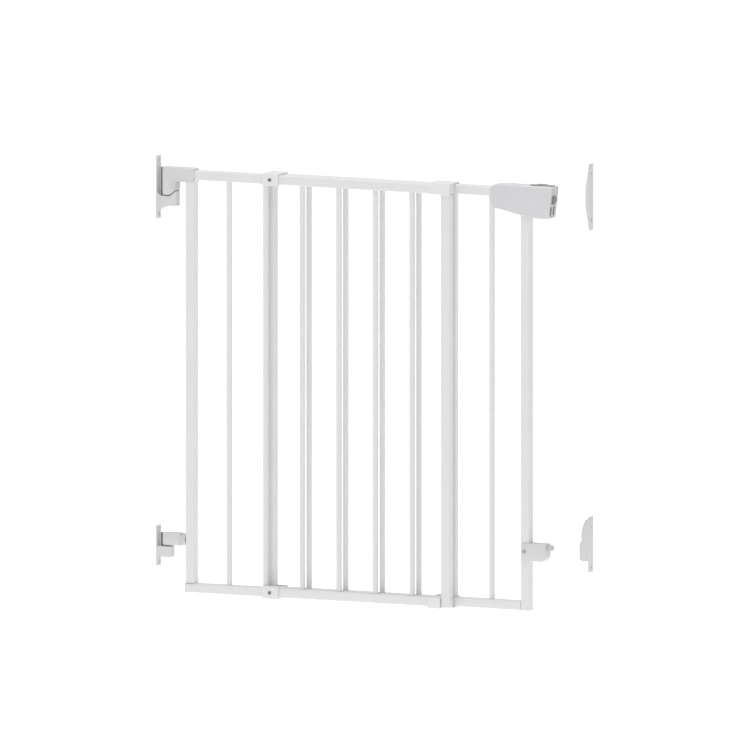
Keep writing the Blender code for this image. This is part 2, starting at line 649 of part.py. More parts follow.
passage_reach = RAIL / 2 + SLIDING_GAP
front_inside = BAND_FRONT + BAND
back_inside = BAND_BACK - BAND
between = REAR_Y / 2
for place, rail_z, inward in (("upper", TOP_RAIL_Z, -1), ("lower", BOTTOM_RAIL_Z, 1)):
    sleeve_right = FRONT_RIGHT + GAP + SLEEVE_END_WALL
    sleeve_left = sleeve_right - SLEEVE_LENGTH
    sleeve = band_solid(place + "_guide_sleeve", sleeve_left, sleeve_right, rail_z, WHITE_PAINT,
                        SWING)
    cut_passage(sleeve, sleeve_left - FAR, FRONT_RIGHT + GAP, rail_z, front_inside,
                between + 0.001, "front_rail_passage")
    cut_passage(sleeve, sleeve_left - FAR, sleeve_right + FAR, rail_z, between, back_inside,
                "rear_rail_passage")
    cut_towards_bars(sleeve, sleeve_left - FAR, sleeve_right + FAR, rail_z, inward,
                     front_inside, REAR_Y + BAR_CLEAR, passage_reach - 0.001, "bar_passage")
    cut_towards_bars(sleeve, sleeve_left - FAR, sleeve_right + FAR, rail_z, inward,
                     BAND_FRONT - FAR, BAND_BACK + FAR, passage_reach + INNER_LIP, "inner_lip")
    cut_towards_bars(sleeve, sleeve_left - FAR, FRONT_RIGHT - POST - SLEEVE_NECK, rail_z, inward,
                     BAND_FRONT - FAR, front_inside, RAIL / 2, "front_lip")
    if place == "lower":
        cut_box(sleeve, (FRONT_RIGHT - POST - GAP, BAND_FRONT - FAR, rail_z - FAR),
                (sleeve_right + FAR, POST / 2 + GAP, rail_z + FAR), "post_passage")

    clamp_left = REAR_LEFT + CLAMP_INSET
    clamp_right = clamp_left + CLAMP_WIDTH
    clamp = band_solid(place + "_clamp", clamp_left, clamp_right, rail_z, WHITE_PAINT, SLIDE)
    cut_passage(clamp, clamp_left - FAR, clamp_right + FAR, rail_z, -RAIL / 2 - SLIDING_GAP,
                back_inside, "rail_passage")
    cut_towards_bars(clamp, clamp_left - FAR, clamp_right + FAR, rail_z, inward, -BAR_CLEAR,
                     back_inside, passage_reach - 0.001, "bar_passage")
    cut_towards_bars(clamp, clamp_left - FAR, clamp_right + FAR, rail_z, inward, -BAR_CLEAR,
                     BAND_BACK + FAR, passage_reach + INNER_LIP, "inner_lip")
    clamp_middle = (clamp_left + clamp_right) / 2
    cut_rod(clamp, (clamp_middle, BAND_FRONT - 0.005, rail_z), "Y", 0.012,
            SMALL_SCREW_SHANK / 2 + SHANK_GAP, "screw_hole")


def socket_screw(name, x, face_y, z, toward, head, shank, reach, material, parent):
    """A low round head on a face, its hexagon recess outwards.  toward +1 points into +Y."""
    thickness = SCREW_HEAD_HEIGHT
    low = face_y - GAP - thickness if toward > 0 else face_y + GAP
    item = rod(name, (x, low, z), "Y", thickness, head / 2, material, parent, sides=24)
    bevel(item, 0.0005, 1)
    root = low + thickness / 2
    start = root if toward > 0 else root - reach
    tool = rod(name + "_shank", (x, start, z), "Y", reach, shank / 2, None, None, cutters, 16)
    apply_cut(item, tool, "UNION")
    outside = low - 0.001 if toward > 0 else low + thickness - 0.0011
    cut_rod(item, (x, outside, z), "Y", 0.0021, head * 0.24, "recess", 6)
    return item


for place, rail_z in (("upper", TOP_RAIL_Z), ("lower", BOTTOM_RAIL_Z)):
    reach = -RAIL / 2 - BAND_FRONT + SCREW_HEAD_HEIGHT / 2
    socket_screw(place + "_clamp_screw", clamp_middle, BAND_FRONT, rail_z, 1,
                 CLAMP_SCREW_HEAD, SMALL_SCREW_SHANK, reach, ZINC, SLIDE)

# ---- handle -------------------------------------------------------------------------------
HANDLE_LEFT = LATCH_POST_LEFT - HANDLE_BEFORE_POST
HANDLE_RIGHT = REAR_RIGHT + HANDLE_PAST_POST
HANDLE_TOP = FRAME_TOP + HANDLE_ROOF
HANDLE_BOTTOM = HANDLE_TOP - HANDLE_DROP
HANDLE_FRONT = REAR_Y - FRAME_DEPTH / 2 - HANDLE_FRONT_WALL
HANDLE_BACK = REAR_Y + FRAME_DEPTH / 2 + HANDLE_BACK_WALL
SLANT_RATIO = HANDLE_SLANT / HANDLE_DROP


def handle_end_x(z):
    """The slanted right end of the handle at a height."""
    return HANDLE_RIGHT - (HANDLE_TOP - z) * SLANT_RATIO


handle_outline = [
    (HANDLE_LEFT + 0.006, HANDLE_TOP - 0.0012),
    (HANDLE_LEFT + 0.0015, HANDLE_TOP - 0.004),
    (HANDLE_LEFT, HANDLE_TOP - 0.010),
    (HANDLE_LEFT, HANDLE_TOP - 0.028),
    (HANDLE_LEFT + 0.0015, HANDLE_TOP - 0.038),
    (HANDLE_LEFT + 0.005, HANDLE_TOP - 0.0435),
    (HANDLE_LEFT + 0.020, HANDLE_TOP - 0.0455),
    (HANDLE_LEFT + 0.058, HANDLE_TOP - 0.0535),
    (HANDLE_LEFT + 0.083, HANDLE_BOTTOM + 0.001),
    (handle_end_x(HANDLE_BOTTOM), HANDLE_BOTTOM),
    (handle_end_x(HANDLE_TOP), HANDLE_TOP),
    (HANDLE_LEFT + 0.030, HANDLE_TOP)]

mechanism_left = REAR_RIGHT + 0.002
mouth = HANDLE_RIGHT + FAR
cavity_floor = HANDLE_BOTTOM + 0.001 + SHELL_WALL + 0.0005
cavity_roof = HANDLE_TOP - SHELL_WALL
INSERT_THICKNESS = 0.003
INSERT_INSET = 0.0006
SLOT_CLEARANCE = 0.0005
BOLT_Z = TOP_RAIL_Z - BOLT_DROP
bolt_end = handle_end_x(BOLT_Z) + BOLT_NOSE
leg_left = bolt_end - BOLT_LENGTH + 0.004
leg_right = leg_left + SLIDER_LEG
screw_spots = (HANDLE_LEFT + 0.016, HANDLE_LEFT + 0.044)
HANDLE_SCREW_Z = FRAME_TOP - RAIL - 0.0115


def handle_shell(name, front):
    """One moulded half, hollowed for the rail, the post, one bar and the latch."""
    shell = outline_solid(name, handle_outline, HANDLE_BACK - HANDLE_FRONT, PALE_PLASTIC, SLIDE,
                          start=HANDLE_FRONT)
    bevel(shell, 0.003, 3)
    side = REAR_Y - GAP / 2 if front else REAR_Y + GAP / 2
    if front:
        cut_box(shell, (HANDLE_LEFT - FAR, side, HANDLE_BOTTOM - FAR),
                (HANDLE_RIGHT + FAR, HANDLE_BACK + FAR, HANDLE_TOP + FAR), "other_half")
    else:
        cut_box(shell, (HANDLE_LEFT - FAR, HANDLE_FRONT - FAR, HANDLE_BOTTOM - FAR),
                (HANDLE_RIGHT + FAR, side, HANDLE_TOP + FAR), "other_half")
    fit = SLIDING_GAP
    cut_box(shell, (HANDLE_LEFT - FAR, REAR_Y - RAIL / 2 - fit, FRAME_TOP - RAIL - fit),
            (REAR_RIGHT + fit, REAR_Y + RAIL / 2 + fit, FRAME_TOP + fit), "rail_space")
    cut_box(shell, (LATCH_POST_LEFT - fit, REAR_Y - POST / 2 - fit, HANDLE_BOTTOM - FAR),
            (REAR_RIGHT + fit, REAR_Y + POST / 2 + fit, FRAME_TOP - RAIL), "post_space")
    last_bar = REAR_LEFT + POST / 2 + FIRST_BAR + (BAR_COUNT - 1) * BAR_PITCH
    cut_box(shell, (HANDLE_LEFT - FAR, REAR_Y - BAR_CLEAR, HANDLE_BOTTOM - FAR),
            (last_bar + BAR_CLEAR, REAR_Y + BAR_CLEAR, FRAME_TOP - RAIL), "bar_space")
    cut_box(shell, (mechanism_left, HANDLE_FRONT + SHELL_WALL, cavity_floor),
            (mouth, HANDLE_BACK - SHELL_WALL, cavity_roof), "latch_space")
    cut_box(shell, (leg_left - BOLT_TRAVEL - SLOT_CLEARANCE, REAR_Y - 0.0045,
                    cavity_roof - 0.005),
            (leg_right + SLOT_CLEARANCE, REAR_Y + 0.0045, HANDLE_TOP + 0.005), "slider_slot")
    shank = SMALL_SCREW_SHANK / 2 + SHANK_GAP
    for number, x in enumerate(screw_spots):
        cut_rod(shell, (x, HANDLE_BACK - 0.025, HANDLE_SCREW_Z), "Y", 0.04, shank,
                "screw_hole_%d" % number, 16)
        cut_rod(shell, (x, HANDLE_BACK - 0.003, HANDLE_SCREW_Z), "Y", 0.01,
                SMALL_SCREW_HEAD / 2 + SHANK_GAP, "head_recess_%d" % number)
    return shell


handle_shell("handle_front_shell", True)
handle_shell("handle_rear_shell", False)
for number, x in enumerate(screw_spots):
    socket_screw("handle_screw_%d" % (number + 1), x, HANDLE_BACK - 0.003, HANDLE_SCREW_Z, -1,
                 SMALL_SCREW_HEAD, SMALL_SCREW_SHANK, 0.019, ZINC, SLIDE)

# The dark insert closes the handle's mouth round the bolt.
insert_low = cavity_floor + GAP
insert_high = cavity_roof - GAP


def insert_x(z, depth):
    return handle_end_x(z) - INSERT_INSET - depth


insert_outline = [(insert_x(insert_low, INSERT_THICKNESS), insert_low),
                  (insert_x(insert_low, 0), insert_low),
                  (insert_x(insert_high, 0), insert_high),
                  (insert_x(insert_high, INSERT_THICKNESS), insert_high)]
insert_front = HANDLE_FRONT + SHELL_WALL + GAP
insert_depth = HANDLE_BACK - SHELL_WALL - GAP - insert_front
insert = outline_solid("handle_end_insert", insert_outline, insert_depth, DARK_PLASTIC, SLIDE,
                       start=insert_front)
bolt_y, bolt_z = BOLT_SIZE[0] / 2, BOLT_SIZE[1] / 2
cut_box(insert, (mechanism_left, REAR_Y - bolt_y - SLIDING_GAP, BOLT_Z - bolt_z - SLIDING_GAP),
        (mouth, REAR_Y + bolt_y + SLIDING_GAP, BOLT_Z + bolt_z + SLIDING_GAP), "bolt_opening")
for side in (-1, 1):
    slot_middle = REAR_Y + side * 0.0062
    cut_box(insert, (mechanism_left, slot_middle - 0.003, insert_low + 0.003),
            (mouth, slot_middle + 0.003, BOLT_Z - bolt_z - 0.005), "slot_%d" % side)

# ---- latch bolt and thumb slider, which move as one ---------------------------------------
bolt_outline = [(bolt_end - BOLT_LENGTH, BOLT_Z - bolt_z), (bolt_end - 0.003, BOLT_Z - bolt_z),
                (bolt_end, BOLT_Z - bolt_z + 0.005), (bolt_end, BOLT_Z + bolt_z - 0.003),
                (bolt_end - 0.003, BOLT_Z + bolt_z), (bolt_end - BOLT_LENGTH, BOLT_Z + bolt_z)]
bolt = outline_solid("latch_bolt", bolt_outline, BOLT_SIZE[0], DARK_PLASTIC, LATCH,
                     start=REAR_Y - bolt_y)
bevel(bolt, 0.001)
NOTCH_DEPTH = 0.004
cut_box(bolt, (leg_left - GAP, REAR_Y - FAR, BOLT_Z + bolt_z - NOTCH_DEPTH),
        (leg_right + GAP, REAR_Y + FAR, BOLT_Z + bolt_z + FAR), "leg_notch")

slider_right = handle_end_x(HANDLE_TOP) - 0.002
slider_left = slider_right - SLIDER_LENGTH
slider_low = HANDLE_TOP + SLIDING_GAP
slider = block("thumb_slider", (slider_left, REAR_Y - SLIDER_DEPTH / 2, slider_low),
               (slider_right, REAR_Y + SLIDER_DEPTH / 2, slider_low + SLIDER_THICKNESS),
               DARK_PLASTIC, LATCH)
bevel(slider, 0.0008)
grip_left = slider_left + 0.014
join_box(slider, (grip_left, REAR_Y - SLIDER_DEPTH / 2 + 0.0015, slider_low + 0.001),
         (grip_left + 0.017, REAR_Y + SLIDER_DEPTH / 2 - 0.0015,
          slider_low + SLIDER_THICKNESS + GRIP_HEIGHT), "grip")
join_box(slider, (leg_left, REAR_Y - 0.004, BOLT_Z + bolt_z - NOTCH_DEPTH + GAP),
         (leg_right, REAR_Y + 0.004, slider_low + 0.001), "leg")

SPRING_RADIUS = 0.0042
SPRING_TURNS = 6
spring_left = mechanism_left + 0.001
spring_right = bolt_end - BOLT_LENGTH - 0.001
spring_curve = bpy.data.curves.new("latch_spring", "CURVE")
spring_curve.dimensions = "3D"
spring_curve.bevel_depth = 0.0005
spring_curve.bevel_resolution = 1
spring_curve.use_fill_caps = True
coil = spring_curve.splines.new("POLY")
COIL_STEPS = SPRING_TURNS * 12
coil.points.add(COIL_STEPS)
for step, spot in enumerate(coil.points):
    angle = 2 * math.pi * step / 12
    along = spring_left + (spring_right - spring_left) * step / COIL_STEPS
    spot.co = (along - spring_left, SPRING_RADIUS * math.cos(angle),
               SPRING_RADIUS * math.sin(angle), 1)
spring = bpy.data.objects.new("latch_spring", spring_curve)
gate.objects.link(spring)
spring_curve.materials.append(ZINC)
spring.parent = SLIDE
spring.location = Vector((spring_left, REAR_Y, BOLT_Z)) - world_place(SLIDE)

# ---- lower latch --------------------------------------------------------------------------
block_left = LATCH_POST_LEFT + BLOCK_BEHIND_EDGE
block_right = REAR_RIGHT + BLOCK_PAST_POST
block_front = REAR_Y - BLOCK_DEPTH / 2
block_outline = [(block_left, BLOCK_Z[0]), (block_right - BLOCK_CHAMFER, BLOCK_Z[0]),
                 (block_right, BLOCK_Z[0] + BLOCK_CHAMFER), (block_right, BLOCK_Z[1]),
                 (block_left, BLOCK_Z[1])]
latch_block = outline_solid("lower_latch_block", block_outline, BLOCK_DEPTH, PALE_PLASTIC, SLIDE,
                            start=block_front)
bevel(latch_block, 0.0015)
cut_box(latch_block, (block_left - FAR, REAR_Y - POST / 2 - GAP, BLOCK_Z[0] - FAR),
        (REAR_RIGHT + GAP, REAR_Y + POST / 2 + GAP, BLOCK_Z[1] + FAR), "post_space")
peg_end = block_right + PEG_NOSE
peg_start = peg_end - PEG_LENGTH
cut_rod(latch_block, (peg_start - GAP, REAR_Y, PEG_Z), "X", FAR, PEG_DIAMETER / 2 + SHANK_GAP,
        "peg_bore")
peg = rod("lower_latch_peg", (peg_start, REAR_Y, PEG_Z), "X", PEG_LENGTH, PEG_DIAMETER / 2,
          DARK_PLASTIC, SLIDE)
bevel(peg, 0.0012)
block_screw_x = LATCH_POST_LEFT + POST / 2
block_screw_z = (BLOCK_Z[0] + BLOCK_Z[1]) / 2 + 0.001
cut_rod(latch_block, (block_screw_x, block_front - 0.005, block_screw_z), "Y", 0.01,
        SMALL_SCREW_SHANK / 2 + SHANK_GAP, "screw_hole", 16)
reach = REAR_Y - POST / 2 - GAP - block_front + SCREW_HEAD_HEIGHT / 2
socket_screw("lower_latch_screw", block_screw_x, block_front, block_screw_z, 1,
             SMALL_SCREW_HEAD, SMALL_SCREW_SHANK, reach, ZINC, SLIDE)


# ---- wall catches -------------------------------------------------------------------------
def catch(name, outline, channel_low, channel_high, screw_heights):
    """A ribbed strike: a wall plate between two side ribs that hold the bolt or peg."""
    back = REAR_Y - CATCH_DEPTH / 2
    item = outline_solid(name, outline, CATCH_DEPTH, PALE_PLASTIC, start=back)
    bevel(item, 0.0006)
    floor = WALL_X - CATCH_PLATE
    cut_box(item, (floor - FAR, back + CATCH_RIB, channel_low),
            (floor, back + CATCH_DEPTH - CATCH_RIB, channel_high), "channel")
    for height in screw_heights:
        wall_screw_hole(item, WALL_X, REAR_Y, height, -1, CATCH_PLATE)
    return item


low, high = UPPER_CATCH_Z
reach = WALL_X - UPPER_CATCH_REACH
ramp = 0.044
upper_outline = [(WALL_X, low), (WALL_X, high), (WALL_X - CATCH_PLATE * 0.4, high),
                 (reach, high - ramp), (reach, low + ramp),
                 (WALL_X - CATCH_PLATE * 0.4, low)]
upper_catch_screws = (low + 0.018, high - 0.018)
catch("upper_catch", upper_outline, low - FAR, high + FAR, upper_catch_screws)

low, high = LOWER_CATCH_Z
plate_face = WALL_X - CATCH_PLATE
brow = WALL_X - 0.0162
lower_outline = [(WALL_X, low), (WALL_X, high), (plate_face, high), (plate_face, high - 0.003),
                 (WALL_X - 0.0087, high - 0.006), (WALL_X - 0.0135, high - 0.016),
                 (brow, high - 0.030), (brow, high - 0.043),
                 (WALL_X - LOWER_CATCH_REACH, high - 0.050),
                 (WALL_X - LOWER_CATCH_REACH, SADDLE_Z[0] + 0.003),
                 (WALL_X - LOWER_CATCH_REACH + 0.003, SADDLE_Z[0]),
                 (plate_face, SADDLE_Z[0]), (plate_face, low)]
lower_catch_screws = (low + 0.009, high - 0.018)
catch("lower_catch", lower_outline, SADDLE_Z[1], high + FAR, lower_catch_screws)

for end, upper_z, lower_z in (("bottom", upper_catch_screws[0], lower_catch_screws[0]),
                              ("top", upper_catch_screws[1], lower_catch_screws[1])):
    wall_screw("upper_catch_screw_" + end, WALL_X, REAR_Y, upper_z, -1, CATCH_PLATE)
    wall_screw("lower_catch_screw_" + end, WALL_X, REAR_Y, lower_z, -1, CATCH_PLATE)
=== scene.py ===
import math

import bmesh
import bpy
from mathutils import Matrix, Vector


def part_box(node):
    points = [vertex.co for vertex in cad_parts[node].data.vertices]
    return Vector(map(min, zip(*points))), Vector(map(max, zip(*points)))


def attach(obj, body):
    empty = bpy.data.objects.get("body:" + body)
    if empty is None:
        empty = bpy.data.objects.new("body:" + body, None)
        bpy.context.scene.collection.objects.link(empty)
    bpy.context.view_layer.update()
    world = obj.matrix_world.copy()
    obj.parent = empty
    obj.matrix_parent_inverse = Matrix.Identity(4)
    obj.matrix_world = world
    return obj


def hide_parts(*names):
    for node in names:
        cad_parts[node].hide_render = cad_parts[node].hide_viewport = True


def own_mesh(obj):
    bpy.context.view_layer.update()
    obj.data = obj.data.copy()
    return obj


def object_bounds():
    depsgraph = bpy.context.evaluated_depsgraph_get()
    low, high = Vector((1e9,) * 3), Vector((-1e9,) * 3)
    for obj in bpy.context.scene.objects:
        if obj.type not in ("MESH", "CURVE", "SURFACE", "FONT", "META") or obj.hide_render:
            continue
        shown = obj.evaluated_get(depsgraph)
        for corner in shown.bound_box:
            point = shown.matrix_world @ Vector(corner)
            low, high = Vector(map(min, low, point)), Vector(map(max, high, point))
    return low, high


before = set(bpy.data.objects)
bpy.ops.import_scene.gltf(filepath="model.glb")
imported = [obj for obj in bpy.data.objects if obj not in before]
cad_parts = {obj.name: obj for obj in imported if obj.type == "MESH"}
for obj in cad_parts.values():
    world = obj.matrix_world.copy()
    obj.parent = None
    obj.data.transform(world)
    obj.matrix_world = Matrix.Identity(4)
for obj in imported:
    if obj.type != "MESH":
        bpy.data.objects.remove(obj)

cad_low, cad_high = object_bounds()

# ---- Camera ----
# A long lens stands off the gate's right-hand end and a little above its middle, so that every
# upright stays parallel and both sliding panels can be told apart.
VIEW_TURN = math.radians(26.0)
VIEW_RISE = math.radians(6.84)
VIEW_DISTANCE = 4.0
VIEW_WIDTH = 1.3438
VIEW_LIFT = 0.0048
gate_middle = (Vector(cad_low) + Vector(cad_high)) / 2 + Vector((0, 0, VIEW_LIFT))
towards_viewer = Vector((math.sin(VIEW_TURN) * math.cos(VIEW_RISE),
                         -math.cos(VIEW_TURN) * math.cos(VIEW_RISE),
                         math.sin(VIEW_RISE)))
camera_data = bpy.data.cameras.new("gate_camera")
camera_data.type = "ORTHO"
camera_data.ortho_scale = VIEW_WIDTH
camera_data.clip_end = 40.0
camera = bpy.data.objects.new("gate_camera", camera_data)
bpy.context.scene.collection.objects.link(camera)
camera.location = gate_middle + towards_viewer * VIEW_DISTANCE
camera.rotation_euler = (-towards_viewer).to_track_quat("-Z", "Y").to_euler()
bpy.context.scene.camera = camera

# ---- Studio floor and light ----
# The gate hangs in a white studio: one wide matt floor that runs out to the horizon, an even sky,
# a broad soft lamp right above the gate and a weak one in front of it.
FLOOR_DROP = 0.16
FLOOR_WIDTH = 60.0
floor_shape = bmesh.new()
bmesh.ops.create_grid(floor_shape, x_segments=8, y_segments=8, size=FLOOR_WIDTH / 2)
floor_mesh = bpy.data.meshes.new("studio_floor")
floor_shape.to_mesh(floor_mesh)
floor_shape.free()
floor = bpy.data.objects.new("studio_floor", floor_mesh)
bpy.context.scene.collection.objects.link(floor)
floor.location = (gate_middle.x, gate_middle.y, cad_low[2] - FLOOR_DROP)
floor_paint = bpy.data.materials.new("studio_white")
floor_paint.use_nodes = True
floor_shader = floor_paint.node_tree.nodes["Principled BSDF"]
floor_shader.inputs["Base Color"].default_value = (0.9, 0.9, 0.9, 1)
floor_shader.inputs["Roughness"].default_value = 1.0
floor_shader.inputs["Specular IOR Level"].default_value = 0.0
floor_shader.inputs["Emission Color"].default_value = (1, 1, 1, 1)
floor_shader.inputs["Emission Strength"].default_value = 0.52
floor_mesh.materials.append(floor_paint)

sky = bpy.data.worlds.new("studio_sky")
sky.use_nodes = True
sky.node_tree.nodes["Background"].inputs["Color"].default_value = (1, 1, 1, 1)
sky.node_tree.nodes["Background"].inputs["Strength"].default_value = 0.58
bpy.context.scene.world = sky
bpy.context.scene.view_settings.view_transform = "Standard"

for lamp_name, place, width, power in (("overhead_softbox", (0.4, -0.35, 3.6), 2.4, 62.0),
                                       ("front_softbox", (1.6, -3.2, 1.6), 2.2, 4.0)):
    lamp = bpy.data.lights.new(lamp_name, "AREA")
    lamp.shape = "SQUARE"
    lamp.size = width
    lamp.energy = power
    stand = bpy.data.objects.new(lamp_name, lamp)
    bpy.context.scene.collection.objects.link(stand)
    stand.location = place
    stand.rotation_euler = (gate_middle - Vector(place)).to_track_quat("-Z", "Y").to_euler()

# ---- Rails ----
# Four lengths of square steel tube with rounded corners, two to a panel, cut square and powder
# coated white.  The rear pair slides behind the front pair.
RAIL_CORNER = 0.0024
RAIL_WALL = 0.0012
BUTT_GAP = 0.0003              # a bottom rail's end is welded shut against its post


def coated_steel(name, colour, roughness):
    """Powder coat: a satin skin with a fine orange peel and faint patches in its tone."""
    finish = bpy.data.materials.new(name)
    finish.use_nodes = True
    nodes, links = finish.node_tree.nodes, finish.node_tree.links
    shader = nodes["Principled BSDF"]
    shader.inputs["Coat Weight"].default_value = 0.12
    shader.inputs["Coat Roughness"].default_value = 0.3
    shader.inputs["Specular IOR Level"].default_value = 0.4
    place = nodes.new("ShaderNodeTexCoord")
    patches = nodes.new("ShaderNodeTexNoise")
    patches.inputs["Scale"].default_value = 14.0
    patches.inputs["Detail"].default_value = 4.0
    tone = nodes.new("ShaderNodeValToRGB")
    tone.color_ramp.elements[0].position = 0.3
    tone.color_ramp.elements[0].color = (*[c * 0.97 for c in colour], 1)
    tone.color_ramp.elements[1].position = 0.7
    tone.color_ramp.elements[1].color = (*colour, 1)
    peel = nodes.new("ShaderNodeTexNoise")
    peel.inputs["Scale"].default_value = 850.0
    peel.inputs["Detail"].default_value = 2.0
    gloss = nodes.new("ShaderNodeMapRange")
    gloss.inputs["To Min"].default_value = roughness - 0.05
    gloss.inputs["To Max"].default_value = roughness + 0.06
    bump = nodes.new("ShaderNodeBump")
    bump.inputs["Strength"].default_value = 0.12
    bump.inputs["Distance"].default_value = 0.0002
    for noise in (patches, peel):
        links.new(place.outputs["Object"], noise.inputs["Vector"])
    links.new(patches.outputs["Fac"], tone.inputs["Fac"])
    links.new(tone.outputs["Color"], shader.inputs["Base Color"])
    links.new(peel.outputs["Fac"], gloss.inputs["Value"])
    links.new(gloss.outputs["Result"], shader.inputs["Roughness"])
    links.new(peel.outputs["Fac"], bump.inputs["Height"])
    links.new(bump.outputs["Normal"], shader.inputs["Normal"])
    return finish


white_coat = coated_steel("white_powder_coat", (0.745, 0.74, 0.745), 0.4)


def show(name, shape, finish, body, slot, *cad_nodes, smooth=35):
    """Make a piece from a finished bmesh, in place of the CAD nodes that it stands for."""
    mesh = bpy.data.meshes.new(name)
    shape.to_mesh(mesh)
    shape.free()
    mesh.shade_smooth()
    mesh.set_sharp_from_angle(angle=math.radians(smooth))
    mesh.materials.append(finish)
    piece = bpy.data.objects.new(name, mesh)
    bpy.context.scene.collection.objects.link(piece)
    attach(piece, body)
    if cad_nodes:
        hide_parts(*cad_nodes)
    return piece


def rounded_rectangle(width, height, radius, steps=6):
    """Points round a rectangle with rounded corners, anticlockwise from the right-hand side."""
    points = []
    for corner, (across, up) in enumerate(((1, 1), (-1, 1), (-1, -1), (1, -1))):
        for step in range(steps + 1):
            angle = math.radians(90 * corner + 90 * step / steps)
            points.append((across * (width / 2 - radius) + radius * math.cos(angle),
                           up * (height / 2 - radius) + radius * math.sin(angle)))
    return points


def along(axis, distance, across, up):
    """A point at a distance along X or Z, with its section's two offsets."""
    if axis == "X":
        return Vector((distance, across, up))
    return Vector((across, up, distance))


def skin(shape, rings, closed=True):
    """Faces between one ring of vertices and the next."""
    for ring, following in zip(rings, rings[1:]):
        count = len(ring)
        for spot in range(count if closed else count - 1):
            after = (spot + 1) % count
            shape.faces.new((ring[spot], ring[after], following[after], following[spot]))


def square_tube(low, high, axis, corner, wall):
    """An open-ended square tube with an inner skin and a softened cut edge at both ends."""
    shape = bmesh.new()
    middle = (low + high) / 2
    size = high - low
    if axis == "X":
        width, height, start, end = size.y, size.z, low.x, high.x
        offset = Vector((0, middle.y, middle.z))
    else:
        width, height, start, end = size.x, size.y, low.z, high.z
        offset = Vector((middle.x, middle.y, 0))
    soft = wall * 0.3
    stations = [(start + wall * 2, wall), (start, wall), (start, soft), (start + soft, 0.0),
                (end - soft, 0.0), (end, soft), (end, wall), (end - wall * 2, wall)]
    rings = []
    for distance, inset in stations:
        outline = rounded_rectangle(width - 2 * inset, height - 2 * inset,
                                    max(corner - inset, 0.0004))
        rings.append([shape.verts.new(along(axis, distance, across, up) + offset)
                      for across, up in outline])
    skin(shape, rings + rings[:1])
    bmesh.ops.recalc_face_normals(shape, faces=shape.faces)
    return shape


for panel, body in (("front", "front_panel"), ("rear", "rear_panel")):
    for level in ("top", "bottom"):
        node = "%s_%s_rail" % (panel, level)
        low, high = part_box(node)
        if level == "bottom":
            high.x += BUTT_GAP
        tube = square_tube(low, high, "X", RAIL_CORNER, RAIL_WALL)
        show(node + "_tube", tube, white_coat, body, "white_coat", node)

# ---- Posts ----
# Each panel is framed by two heavier square tubes that stand between its rails.  A thin weld,
# ground smooth and coated over, runs round the top of each post and round the foot of the hinge
# post and the rear inner post; a pressed plate closes the foot of the other two.
POST_CORNER = 0.0026
WELD_SIZE = 0.0011
WELD_BITE = 0.001              # how far the weld reaches into the post's outline, both sides
FILLET_STEPS = 4
FOOT_PLATE_RISE = 0.0004
FOOT_PLATE_THICKNESS = 0.001


def weld_collar(shape, low, high, level, corner, upward):
    """A hollow-faced fillet round a post's end."""
    middle = (low + high) / 2
    rings = []
    for step in range(FILLET_STEPS + 1):
        turn = math.radians(90 * step / FILLET_STEPS)
        spread = WELD_SIZE * (1 - math.sin(turn))
        rise = WELD_SIZE * (1 - math.cos(turn)) * upward
        outline = rounded_rectangle(high.x - low.x + 2 * spread, high.y - low.y + 2 * spread,
                                    corner + spread)
        rings.append([shape.verts.new(Vector((middle.x + across, middle.y + up, level + rise)))
                      for across, up in outline])
    inner = rounded_rectangle(high.x - low.x - WELD_BITE, high.y - low.y - WELD_BITE, corner)
    for height in (level + WELD_SIZE * upward, level):
        rings.append([shape.verts.new(Vector((middle.x + across, middle.y + up, height)))
                      for across, up in inner])
    skin(shape, rings + rings[:1])


def foot_plate(shape, low, high):
    """The pressed plate that closes a post's foot, a little way up inside its walls."""
    middle = (low + high) / 2
    rings = []
    for rise in (FOOT_PLATE_RISE, FOOT_PLATE_RISE + FOOT_PLATE_THICKNESS):
        outline = rounded_rectangle(high.x - low.x - 2 * RAIL_WALL,
                                    high.y - low.y - 2 * RAIL_WALL, POST_CORNER - RAIL_WALL)
        rings.append([shape.verts.new(Vector((middle.x + across, middle.y + up,
                                              low.z + rise))) for across, up in outline])
    shape.faces.new(rings[0])
    skin(shape, rings)
    shape.faces.new(rings[1])


for node, body in (("hinge_post", "front_panel"), ("front_inner_post", "front_panel"),
                   ("rear_inner_post", "rear_panel"), ("latch_post", "rear_panel")):
    low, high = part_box(node)
    post = square_tube(low, high, "Z", POST_CORNER, RAIL_WALL)
    show(node + "_tube", post, white_coat, body, "white_coat", node)
    welds = bmesh.new()
    if node in ("hinge_post", "rear_inner_post"):
        weld_collar(welds, low, high, low.z, POST_CORNER, 1)
    else:
        foot_plate(welds, low, high)
    weld_collar(welds, low, high, high.z, POST_CORNER, -1)
    bmesh.ops.recalc_face_normals(welds, faces=welds.faces)
    show(node + "_welds", welds, white_coat, body, "white_coat")

# ---- Bars ----
# Six round steel bars fill each panel, spaced closer than a child's head.  They are welded into
# the rails, and the coat runs over a small fillet at each end.
BAR_SIDES = 40
BAR_FILLET = 0.0004            # kept clear of the slots that the bars slide through
BAR_WALL = 0.001
BARS_IN_A_PANEL = 6


def turned_rings(shape, profile, sides, centre, axis="Z"):
    """Rings of vertices from (distance, radius) pairs about an axis through a point."""
    rings = []
    for distance, radius in profile:
        ring = []
        for side in range(sides):
            angle = 2 * math.pi * side / sides
            across, up = radius * math.cos(angle), radius * math.sin(angle)
            if axis == "Z":
                spot = Vector((across, up, distance))
            elif axis == "X":
                spot = Vector((distance, across, up))
            else:
                spot = Vector((up, distance, across))
            ring.append(shape.verts.new(spot + centre))
        rings.append(ring)
    return rings


